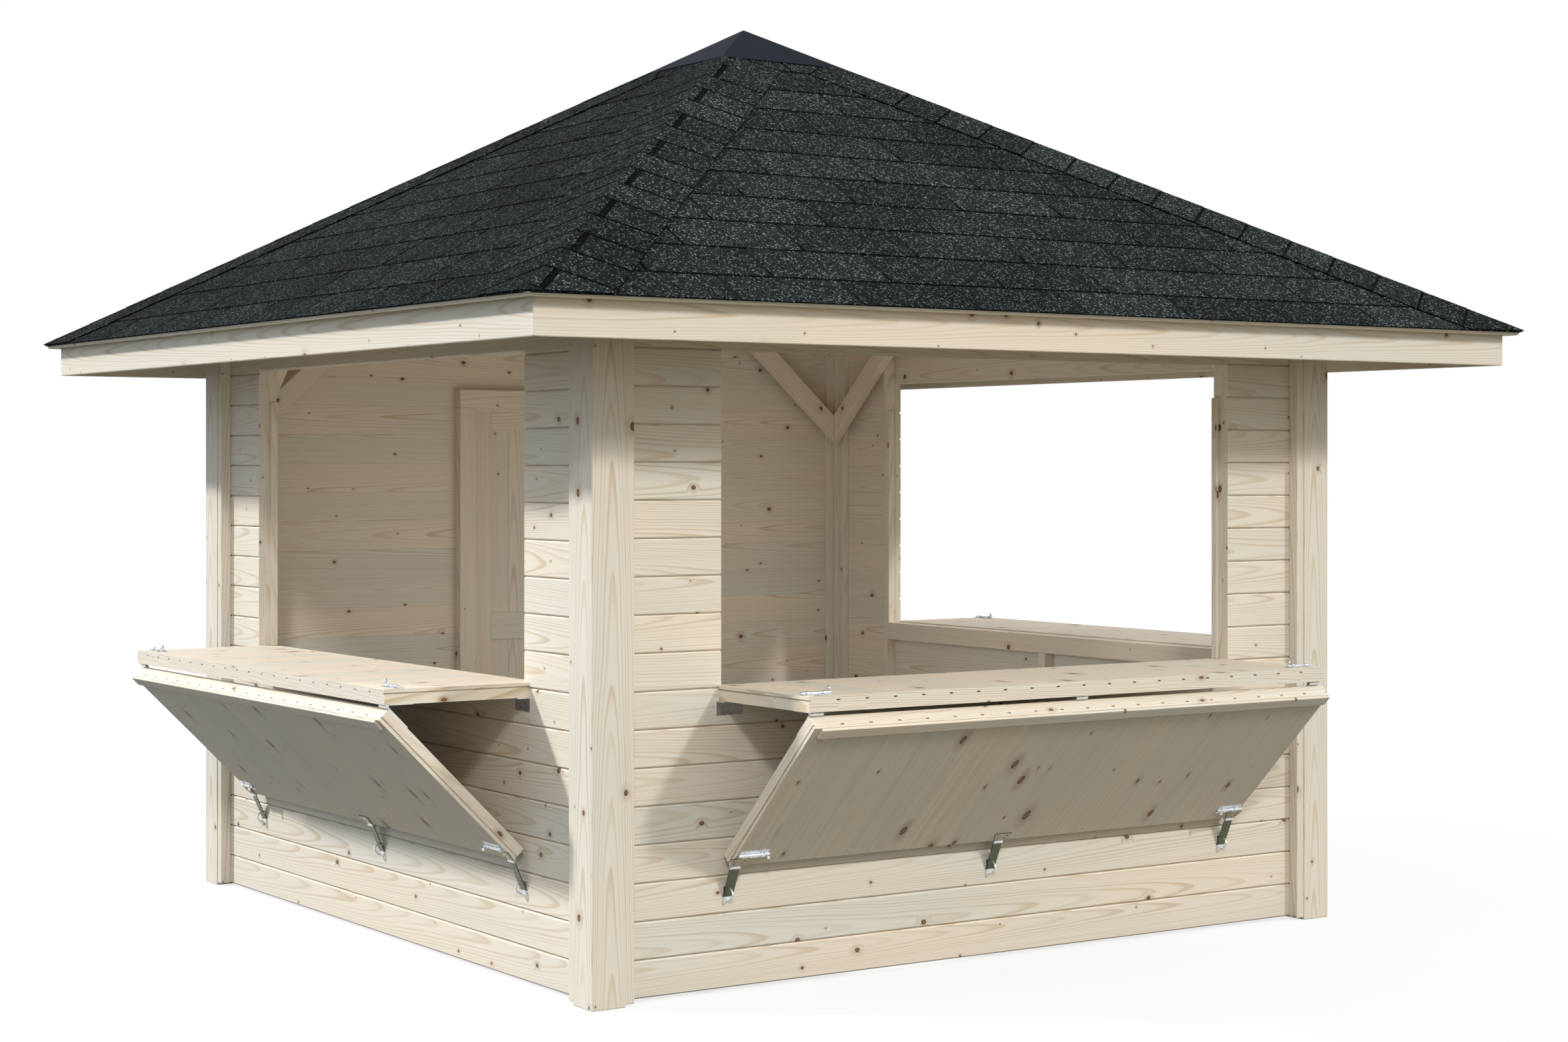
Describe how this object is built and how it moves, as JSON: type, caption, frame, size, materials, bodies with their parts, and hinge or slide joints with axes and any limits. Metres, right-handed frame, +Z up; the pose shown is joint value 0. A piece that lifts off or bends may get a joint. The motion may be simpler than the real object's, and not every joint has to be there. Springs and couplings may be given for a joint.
{
  "type": "wooden market stall",
  "caption": "Square wooden market stall with boarded walls, fold-down serving hatches with counters, a hinged back door and a shingled pyramid roof.",
  "frame": {"origin": "centre of the square plan, on the ground", "axes": "+X to the right along the front wall, +Y from the front wall to the back wall with the door, +Z up"},
  "size_m": [3.9554, 3.9554, 3.2159],
  "materials": {
    "wall_boards": "planed untreated spruce boards",
    "post_timber": "planed untreated spruce",
    "frame_timber": "planed untreated spruce",
    "hatch_timber": "planed untreated spruce",
    "door_timber": "planed untreated spruce",
    "roof_timber": "planed untreated spruce",
    "bitumen_shingles": "bitumen felt with slate granules",
    "slate_cap": "satin coated sheet",
    "zinc_hardware": "bright zinc plate"
  },
  "bodies": {
    "stall": {"back_braces": "frame_timber", "back_left_post": "post_timber", "back_right_post": "post_timber", "back_roof_boards": "roof_timber", "back_wall_left": "wall_boards", "back_wall_over_door": "wall_boards", "back_wall_right": "wall_boards", "counter_hinges": "zinc_hardware", "cover_strips": "hatch_timber", "cross_beams": "frame_timber", "cross_fascias": "roof_timber", "door_head": "door_timber", "door_jambs": "door_timber", "door_pintles": "zinc_hardware", "front_braces": "frame_timber", "front_counter": "hatch_timber", "front_flap": "hatch_timber", "front_left_post": "post_timber", "front_right_post": "post_timber", "front_roof_boards": "roof_timber", "front_wall": "wall_boards", "hatch_bolts": "zinc_hardware", "hatch_hasps": "zinc_hardware", "hatch_hinges": "zinc_hardware", "hatch_stops": "frame_timber", "hip_rafters": "frame_timber", "hip_strips": "bitumen_shingles", "inner_battens": "frame_timber", "jamb_studs": "frame_timber", "king_block": "frame_timber", "left_braces": "frame_timber", "left_counter": "hatch_timber", "left_flap": "hatch_timber", "left_roof_boards": "roof_timber", "left_wall": "wall_boards", "metal_cap": "slate_cap", "mid_studs": "frame_timber", "outer_battens": "frame_timber", "right_braces": "frame_timber", "right_counter": "hatch_timber", "right_flap": "hatch_timber", "right_roof_boards": "roof_timber", "right_wall": "wall_boards", "roof_shingles": "bitumen_shingles", "side_beams": "frame_timber", "side_fascias": "roof_timber", "sill_rails": "frame_timber"},
    "door": {"door_panels": "door_timber", "door_pull": "zinc_hardware", "door_rails": "door_timber", "door_stiles": "door_timber", "door_straps": "zinc_hardware"}
  },
  "joints": [
    {"name": "door_hinge", "type": "hinge", "parent": "stall", "child": "door", "pos_m": [-0.3905, 1.49605, 0.35], "axis": [0, 0, 1], "range_deg": [0, 105]}
  ]
}
